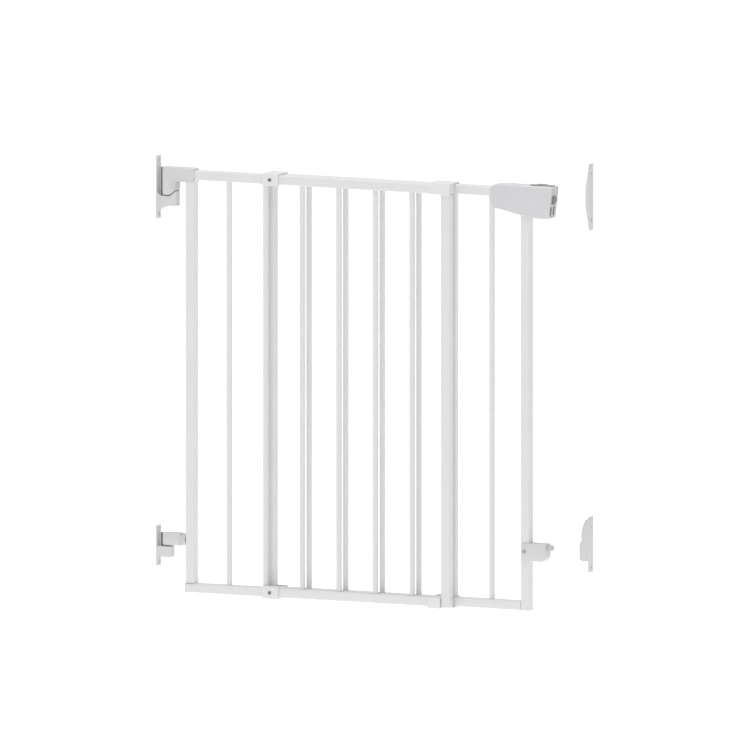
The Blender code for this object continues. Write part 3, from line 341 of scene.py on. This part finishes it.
for panel, body in (("front", "front_panel"), ("rear", "rear_panel")):
    for number in range(1, BARS_IN_A_PANEL + 1):
        node = "%s_bar_%d" % (panel, number)
        low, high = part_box(node)
        radius = (high.x - low.x) / 2
        length = high.z - low.z
        fillet = []
        for step in range(FILLET_STEPS + 1):
            turn = math.radians(90 * step / FILLET_STEPS)
            fillet.append((BAR_FILLET * (1 - math.cos(turn)),
                           radius + BAR_FILLET * (1 - math.sin(turn))))
        hollow = radius - BAR_WALL
        profile = [(0, hollow)] + fillet
        profile += [(length - rise, width) for rise, width in reversed(fillet)]
        profile += [(length, hollow)]
        bar = bmesh.new()
        foot = Vector(((low.x + high.x) / 2, (low.y + high.y) / 2, low.z))
        rings = turned_rings(bar, profile, BAR_SIDES, foot)
        skin(bar, rings + rings[:1])
        bmesh.ops.recalc_face_normals(bar, faces=bar.faces)
        show(node + "_tube", bar, white_coat, body, "white_coat", node, smooth=50)

# ---- Guide sleeves and clamps ----
# Four white nylon bands join the panels.  The sleeves are fixed to the front panel's right end,
# the clamps to the rear panel's left end, and each holds one rail while the other slides.
NYLON_COLOUR = (0.70, 0.695, 0.70)


def moulded_plastic(name, colour, roughness, grain=0.06):
    """Injection moulding: spark-eroded grain, flow marks in its tone and slightly worn edges."""
    finish = bpy.data.materials.new(name)
    finish.use_nodes = True
    nodes, links = finish.node_tree.nodes, finish.node_tree.links
    shader = nodes["Principled BSDF"]
    shader.inputs["Specular IOR Level"].default_value = 0.42
    shader.inputs["Subsurface Weight"].default_value = 0.04
    shader.inputs["Subsurface Radius"].default_value = (0.0012, 0.001, 0.001)
    shader.inputs["Subsurface Scale"].default_value = 1.0
    place = nodes.new("ShaderNodeTexCoord")
    flow = nodes.new("ShaderNodeTexNoise")
    flow.inputs["Scale"].default_value = 22.0
    flow.inputs["Detail"].default_value = 3.0
    flow.inputs["Distortion"].default_value = 1.2
    tone = nodes.new("ShaderNodeValToRGB")
    tone.color_ramp.elements[0].position = 0.3
    tone.color_ramp.elements[0].color = (*[c * 0.955 for c in colour], 1)
    tone.color_ramp.elements[1].position = 0.7
    tone.color_ramp.elements[1].color = (*colour, 1)
    shape = nodes.new("ShaderNodeNewGeometry")
    edges = nodes.new("ShaderNodeMapRange")
    edges.inputs["From Min"].default_value = 0.5
    edges.inputs["From Max"].default_value = 0.58
    worn = nodes.new("ShaderNodeMix")
    worn.data_type = "RGBA"
    worn.inputs[7].default_value = (*[min(c * 1.08, 0.86) for c in colour], 1)
    grit = nodes.new("ShaderNodeTexVoronoi")
    grit.inputs["Scale"].default_value = 2600.0
    gloss = nodes.new("ShaderNodeMapRange")
    gloss.inputs["To Min"].default_value = roughness - 0.07
    gloss.inputs["To Max"].default_value = roughness + 0.07
    bump = nodes.new("ShaderNodeBump")
    bump.inputs["Strength"].default_value = grain
    bump.inputs["Distance"].default_value = 0.0002
    for noise in (flow, grit):
        links.new(place.outputs["Object"], noise.inputs["Vector"])
    links.new(flow.outputs["Fac"], tone.inputs["Fac"])
    links.new(tone.outputs["Color"], worn.inputs[6])
    links.new(shape.outputs["Pointiness"], edges.inputs["Value"])
    links.new(edges.outputs["Result"], worn.inputs[0])
    links.new(worn.outputs[2], shader.inputs["Base Color"])
    links.new(flow.outputs["Fac"], gloss.inputs["Value"])
    links.new(gloss.outputs["Result"], shader.inputs["Roughness"])
    links.new(grit.outputs["Distance"], bump.inputs["Height"])
    links.new(bump.outputs["Normal"], shader.inputs["Normal"])
    return finish


def smooth_shading(name, angle):
    """A modifier's node group that joins facets and shades all but the sharp edges smooth."""
    group = bpy.data.node_groups.new(name, "GeometryNodeTree")
    group.interface.new_socket("Geometry", in_out="INPUT", socket_type="NodeSocketGeometry")
    group.interface.new_socket("Geometry", in_out="OUTPUT", socket_type="NodeSocketGeometry")
    nodes, links = group.nodes, group.links
    start, end = nodes.new("NodeGroupInput"), nodes.new("NodeGroupOutput")
    joined = nodes.new("GeometryNodeMergeByDistance")
    joined.inputs["Distance"].default_value = 0.000002
    plain = nodes.new("GeometryNodeRemoveAttribute")
    plain.inputs["Name"].default_value = "custom_normal"
    faces = nodes.new("GeometryNodeSetShadeSmooth")
    faces.domain = "FACE"
    edges = nodes.new("GeometryNodeSetShadeSmooth")
    edges.domain = "EDGE"
    fold = nodes.new("GeometryNodeInputMeshEdgeAngle")
    gentle = nodes.new("FunctionNodeCompare")
    gentle.data_type = "FLOAT"
    gentle.operation = "LESS_EQUAL"
    gentle.inputs[1].default_value = angle
    links.new(fold.outputs["Unsigned Angle"], gentle.inputs[0])
    links.new(gentle.outputs[0], edges.inputs["Shade Smooth"])
    chain = (start, joined, plain, faces, edges, end)
    for one, two in zip(chain, chain[1:]):
        links.new(one.outputs[0], two.inputs[0])
    return group


SHADING = smooth_shading("smooth_shading", math.radians(34))


def refinish(finish, *nodes):
    """Give CAD nodes that stay a finish of their own, and smooth shading."""
    for node in nodes:
        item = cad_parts[node]
        for slot in item.material_slots:
            slot.material = finish
        item.modifiers.new("smooth_shading", "NODES").node_group = SHADING


white_nylon = moulded_plastic("white_nylon", NYLON_COLOUR, 0.46)
refinish(white_nylon, "upper_guide_sleeve", "lower_guide_sleeve", "upper_clamp", "lower_clamp")

# ---- End plugs ----
# Small white caps close the open ends of the rails: a flange as large as the tube and a stub
# that is pressed inside it.
white_cap = moulded_plastic("white_cap_plastic", (0.745, 0.74, 0.745), 0.5, 0.08)
refinish(white_cap, "front_bottom_plug", "rear_top_plug", "rear_bottom_plug")

# ---- Wall brackets ----
# Two pale grey nylon brackets are screwed to the wall on the hinge side.  Each carries a cup: the
# upper one dished, the lower one flat.  The hinge pins drop into them.
PALE_COLOUR = (0.61, 0.60, 0.607)
pale_plastic = moulded_plastic("pale_grey_nylon", PALE_COLOUR, 0.44)
refinish(pale_plastic, "upper_hinge_bracket", "lower_hinge_bracket")

# ---- Wall catches ----
# Two ribbed strikes are screwed to the opposite wall.  Their ramps lead the bolt and the peg in,
# and their side ribs hold them.
refinish(pale_plastic, "upper_catch", "lower_catch")

# ---- Hinge arms and wear bushes ----
# The arms are moulded over the front panel's hinge side and end in rounded knuckles.  A dark
# acetal bush lines each knuckle's end and underside and turns on the cup.
bush_plastic = moulded_plastic("dark_acetal", (0.22, 0.218, 0.22), 0.36, 0.03)
refinish(pale_plastic, "upper_hinge_arm", "lower_hinge_arm")
refinish(bush_plastic, "upper_hinge_bush", "lower_hinge_bush")

# ---- Hinge pins and stud ----
# Zinc plated steel rods: a pin that stands in each arm, and a stud that joins the lower arm to
# the hinge post and carries the thumbwheel.


def plated_steel(name, colour, roughness, metallic):
    """Zinc plate: clouded passivation and fine turning marks."""
    finish = bpy.data.materials.new(name)
    finish.use_nodes = True
    nodes, links = finish.node_tree.nodes, finish.node_tree.links
    shader = nodes["Principled BSDF"]
    shader.inputs["Metallic"].default_value = metallic
    place = nodes.new("ShaderNodeTexCoord")
    cloud = nodes.new("ShaderNodeTexNoise")
    cloud.inputs["Scale"].default_value = 260.0
    cloud.inputs["Detail"].default_value = 5.0
    tone = nodes.new("ShaderNodeValToRGB")
    tone.color_ramp.elements[0].position = 0.32
    tone.color_ramp.elements[0].color = (*[c * 0.8 for c in colour], 1)
    tone.color_ramp.elements[1].position = 0.68
    tone.color_ramp.elements[1].color = (*colour, 1)
    marks = nodes.new("ShaderNodeTexWave")
    marks.wave_type = "RINGS"
    marks.inputs["Scale"].default_value = 900.0
    marks.inputs["Distortion"].default_value = 1.5
    gloss = nodes.new("ShaderNodeMapRange")
    gloss.inputs["To Min"].default_value = roughness - 0.08
    gloss.inputs["To Max"].default_value = roughness + 0.1
    bump = nodes.new("ShaderNodeBump")
    bump.inputs["Strength"].default_value = 0.06
    bump.inputs["Distance"].default_value = 0.0001
    for pattern in (cloud, marks):
        links.new(place.outputs["Object"], pattern.inputs["Vector"])
    links.new(cloud.outputs["Fac"], tone.inputs["Fac"])
    links.new(tone.outputs["Color"], shader.inputs["Base Color"])
    links.new(cloud.outputs["Fac"], gloss.inputs["Value"])
    links.new(gloss.outputs["Result"], shader.inputs["Roughness"])
    links.new(marks.outputs["Fac"], bump.inputs["Height"])
    links.new(bump.outputs["Normal"], shader.inputs["Normal"])
    return finish


zinc = plated_steel("zinc_plate", (0.68, 0.68, 0.69), 0.44, 0.55)
refinish(zinc, "upper_hinge_pin", "lower_hinge_pin", "adjuster_stud")

# ---- Thumbwheel ----
# A fluted nylon wheel on the stud between the lower arm and the hinge post.  Turning it draws
# the gate level, so its rim is cut in round scallops for the thumb.
WHEEL_FLUTES = 18
FLUTE_DEPTH = 0.0009
WHEEL_EDGE = 0.0009
WHEEL_DISH = 0.0007
DISH_FOOT, DISH_RIM = 0.0034, 0.0026    # how far in from the rim the dish ends and starts
BORE_CLEARANCE = 0.0004
wheel_low, wheel_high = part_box("adjuster_wheel")
wheel_radius = (wheel_high.z - wheel_low.z) / 2
wheel_length = wheel_high.x - wheel_low.x
wheel_centre = (wheel_low + wheel_high) / 2
stud_low, stud_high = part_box("adjuster_stud")
wheel_bore = (stud_high.z - stud_low.z) / 2 + BORE_CLEARANCE


def fluted_ring(shape, distance, inset, fluted, sides=144):
    """A ring about the wheel's axis, with its flutes cut to a share of their full depth."""
    ring = []
    for side in range(sides):
        angle = 2 * math.pi * side / sides
        hollow = FLUTE_DEPTH * fluted * (0.5 - 0.5 * math.cos(WHEEL_FLUTES * angle)) ** 0.7
        reach = wheel_radius - inset - hollow
        ring.append(shape.verts.new(Vector((distance, reach * math.cos(angle),
                                            reach * math.sin(angle))) + wheel_centre))
    return ring


wheel = bmesh.new()
half_wheel = wheel_length / 2
wheel_stations = [(half_wheel - WHEEL_DISH, wheel_radius - wheel_bore, 0.0),
                  (half_wheel - WHEEL_DISH, DISH_FOOT, 0.0), (half_wheel, DISH_RIM, 0.0)]
for step in range(FILLET_STEPS + 1):
    turn = math.radians(90 * step / FILLET_STEPS)
    wheel_stations.append((half_wheel - WHEEL_EDGE * (1 - math.cos(turn)),
                           WHEEL_EDGE * (1 - math.sin(turn)), 0.2 + 0.2 * step))
wheel_rings = [fluted_ring(wheel, *station) for station in wheel_stations]
wheel_rings += [fluted_ring(wheel, -distance, inset, fluted)
                for distance, inset, fluted in reversed(wheel_stations)]
skin(wheel, wheel_rings + wheel_rings[:1])
bmesh.ops.recalc_face_normals(wheel, faces=wheel.faces)
show("thumbwheel", wheel, pale_plastic, "adjuster", "pale_plastic", "adjuster_wheel")

# ---- Wall screws ----
# Eight countersunk wood screws with cross recesses hold the brackets and the catches.  Their
# heads lie flush in the plates.
CROSS_ARM = 0.0024
CROSS_HALF_WIDTH = 0.0006
CROSS_DEPTH = 0.0011
HEAD_SOFTENING = 0.00025
SHANK_SHARE = 0.53             # the shank's radius as a share of the head's


def cross_outline(arm, half):
    """The twelve corners of a cross recess."""
    corner = [(arm, -half), (arm, half), (half, half)]
    points = []
    for quarter in range(4):
        turn = math.radians(90 * quarter)
        points += [(x * math.cos(turn) - y * math.sin(turn),
                    x * math.sin(turn) + y * math.cos(turn)) for x, y in corner]
    return points


def driven_screw(profile, recess, depth, sides=40):
    """A screw along Z with its face at the top: a turned body and a recess in its face.

    profile runs down the outside as (height, radius), from the face's rim to the tip.
    """
    shape = bmesh.new()
    rings = turned_rings(shape, profile, sides, Vector())
    skin(shape, rings)
    shape.faces.new(rings[-1][::-1])
    face_height = profile[0][0]
    mouth = [shape.verts.new((x, y, face_height)) for x, y in recess]
    floor_ring = [shape.verts.new((x * 0.8, y * 0.8, face_height - depth)) for x, y in recess]
    skin(shape, [mouth, floor_ring])
    shape.faces.new(floor_ring)
    rim = [shape.edges.get((one, two)) for ring in (rings[0], mouth)
           for one, two in zip(ring, ring[1:] + ring[:1])]
    bmesh.ops.triangle_fill(shape, edges=rim, use_beauty=True)
    bmesh.ops.recalc_face_normals(shape, faces=shape.faces)
    return shape


def aim(shape, direction, place):
    """Turn a shape that was made along +Z to a direction, and put it in place."""
    turn = Vector(direction).to_track_quat("Z", "Y").to_matrix().to_4x4()
    bmesh.ops.transform(shape, matrix=Matrix.Translation(place) @ turn, verts=shape.verts)


for holder, outward in (("upper_hinge", 1), ("lower_hinge", 1), ("upper_catch", -1),
                        ("lower_catch", -1)):
    for end, spin in (("bottom", 20), ("top", 65)):
        node = "%s_screw_%s" % (holder, end)
        low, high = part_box(node)
        thickness = high.x - low.x
        head = (high.z - low.z) / 2
        screw = driven_screw([(0, head - HEAD_SOFTENING), (-HEAD_SOFTENING / 2, head),
                              (-HEAD_SOFTENING, head), (-thickness, head * SHANK_SHARE)],
                             cross_outline(CROSS_ARM, CROSS_HALF_WIDTH), CROSS_DEPTH)
        bmesh.ops.rotate(screw, verts=screw.verts,
                         matrix=Matrix.Rotation(math.radians(spin), 3, "Z"))
        face = high.x if outward > 0 else low.x
        middle = (low + high) / 2
        aim(screw, (outward, 0, 0), Vector((face, middle.y, middle.z)))
        show(node + "_steel", screw, zinc, "wall_hardware", "zinc_steel", node)

# ---- Clamp, handle and latch screws ----
# Low round heads with a hexagon recess: one through each clamp and through the lower latch from
# the front, and two that draw the handle's halves together from behind.
SOCKET_HEAD_HEIGHT = 0.0018
SOCKET_DEPTH = 0.0011
SOCKET_SHARE = 0.36            # the recess's corner radius as a share of the head's
dark_zinc = plated_steel("dark_zinc_plate", (0.24, 0.24, 0.25), 0.4, 0.85)
pale_zinc = plated_steel("pale_zinc_plate", (0.5, 0.5, 0.51), 0.42, 0.4)
for node, outward in (("upper_clamp_screw", -1), ("lower_clamp_screw", -1),
                      ("lower_latch_screw", -1), ("handle_screw_1", 1), ("handle_screw_2", 1)):
    low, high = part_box(node)
    middle = (low + high) / 2
    head = (high.z - low.z) / 2
    length = high.y - low.y
    crown = [(0, head * 0.62), (-SOCKET_HEAD_HEIGHT * 0.08, head * 0.8),
             (-SOCKET_HEAD_HEIGHT * 0.25, head * 0.93), (-SOCKET_HEAD_HEIGHT * 0.5, head),
             (-SOCKET_HEAD_HEIGHT, head), (-SOCKET_HEAD_HEIGHT, head * 0.5),
             (-length, head * 0.5)]
    hexagon = [(head * SOCKET_SHARE * math.cos(math.radians(60 * corner)),
                head * SOCKET_SHARE * math.sin(math.radians(60 * corner)))
               for corner in range(6)]
    screw = driven_screw(crown, hexagon, SOCKET_DEPTH)
    face = low.y if outward < 0 else high.y
    aim(screw, (0, outward, 0), Vector((middle.x, face, middle.z)))
    plate = dark_zinc if "clamp" in node else pale_zinc
    show(node + "_steel", screw, plate, "rear_panel", "zinc_steel", node, smooth=50)

# ---- Handle ----
# The handle is a smooth pale housing in two halves that close on the top rail and the latch post.
# A grey insert closes its mouth round the bolt, and a spring lies behind the bolt.
handle_plastic = moulded_plastic("handle_grey_nylon", (0.62, 0.61, 0.625), 0.38, 0.04)
insert_plastic = moulded_plastic("insert_grey_nylon", (0.52, 0.515, 0.52), 0.42, 0.04)
refinish(handle_plastic, "handle_front_shell", "handle_rear_shell")
refinish(insert_plastic, "handle_end_insert")
refinish(zinc, "latch_spring")
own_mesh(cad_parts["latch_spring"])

# ---- Latch bolt and thumb slider ----
# The bolt's nose stands out of the handle's end.  The slider on top of the handle is joined to
# it by a leg, and fine ribs across its raised pad give the thumb a grip.
RIB_COUNT = 9
RIB_HEIGHT = 0.00045
RIB_HALF_WIDTH = 0.00045
RIB_ROOT = 0.0002              # how deep a rib's ends reach into the pad
RIB_SINK = 0.0001
RIB_MARGIN = 0.0025            # from a rib's end to the slider's edge
RIB_END_SLOPE = 0.0004
RIB_ARC_STEPS = 6
PAD_START = 0.0155             # from the slider's left end
PAD_LENGTH = 0.014
bolt_plastic = moulded_plastic("bolt_dark_acetal", (0.25, 0.248, 0.25), 0.34, 0.03)
slider_plastic = moulded_plastic("slider_grey_nylon", (0.37, 0.365, 0.37), 0.42, 0.05)
refinish(bolt_plastic, "latch_bolt")
refinish(slider_plastic, "thumb_slider")
slider_low, slider_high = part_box("thumb_slider")
slider_middle = (slider_low.y + slider_high.y) / 2
pad_left = slider_low.x + PAD_START
half_rib = (slider_high.y - slider_low.y) / 2 - RIB_MARGIN
ribs = bmesh.new()
for number in range(RIB_COUNT):
    middle_x = pad_left + PAD_LENGTH * number / (RIB_COUNT - 1)
    rings = []
    for reach, lift in ((half_rib, -RIB_ROOT), (half_rib, 0.4), (half_rib - RIB_END_SLOPE, 1.0),
                        (RIB_END_SLOPE - half_rib, 1.0), (-half_rib, 0.4),
                        (-half_rib, -RIB_ROOT)):
        height = slider_high.z + (lift * RIB_HEIGHT if lift > 0 else lift)
        ring = []
        for step in range(RIB_ARC_STEPS + 1):
            turn = math.radians(180 * step / RIB_ARC_STEPS)
            rise = (height - slider_high.z) * math.sin(turn) if lift > 0 else lift
            ring.append(ribs.verts.new((middle_x + RIB_HALF_WIDTH * math.cos(turn),
                                        slider_middle + reach,
                                        slider_high.z + rise - RIB_SINK)))
        rings.append(ring)
    skin(ribs, rings, closed=False)
bmesh.ops.recalc_face_normals(ribs, faces=ribs.faces)
show("thumb_slider_ribs", ribs, slider_plastic, "latch", "dark_plastic", smooth=60)

# ---- Lower latch ----
# A moulded block is slotted over the latch post and held by one screw.  A turned peg stands out
# of its end and drops into the lower catch.
PEG_ROUNDING = 0.0022
PEG_ROUNDING_STEPS = 6
PEG_FOOT_SOFTENING = 0.0008
PEG_DIMPLE_RADIUS = 0.0016
PEG_DIMPLE_FLOOR = 0.0012
PEG_DIMPLE_DEPTH = 0.0006
PEG_SIDES = 48
peg_plastic = moulded_plastic("peg_grey_acetal", (0.54, 0.535, 0.54), 0.4, 0.03)
refinish(pale_plastic, "lower_latch_block")
peg_low, peg_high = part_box("lower_latch_peg")
peg_radius = (peg_high.z - peg_low.z) / 2
peg_length = peg_high.x - peg_low.x
peg_profile = [(0, peg_radius - PEG_FOOT_SOFTENING), (PEG_FOOT_SOFTENING, peg_radius)]
for step in range(PEG_ROUNDING_STEPS + 1):
    turn = math.radians(90 * step / PEG_ROUNDING_STEPS)
    peg_profile.append((peg_length - PEG_ROUNDING * (1 - math.sin(turn)),
                        peg_radius - PEG_ROUNDING * (1 - math.cos(turn))))
peg_profile += [(peg_length, PEG_DIMPLE_RADIUS),
                (peg_length - PEG_DIMPLE_DEPTH, PEG_DIMPLE_FLOOR)]
peg = bmesh.new()
peg_foot = Vector((peg_low.x, (peg_low.y + peg_high.y) / 2, (peg_low.z + peg_high.z) / 2))
peg_rings = turned_rings(peg, peg_profile, PEG_SIDES, peg_foot, "X")
skin(peg, peg_rings)
peg.faces.new(peg_rings[0])
peg.faces.new(peg_rings[-1])
bmesh.ops.recalc_face_normals(peg, faces=peg.faces)
show("lower_latch_turned_peg", peg, peg_plastic, "rear_panel", "dark_plastic",
     "lower_latch_peg", smooth=40)
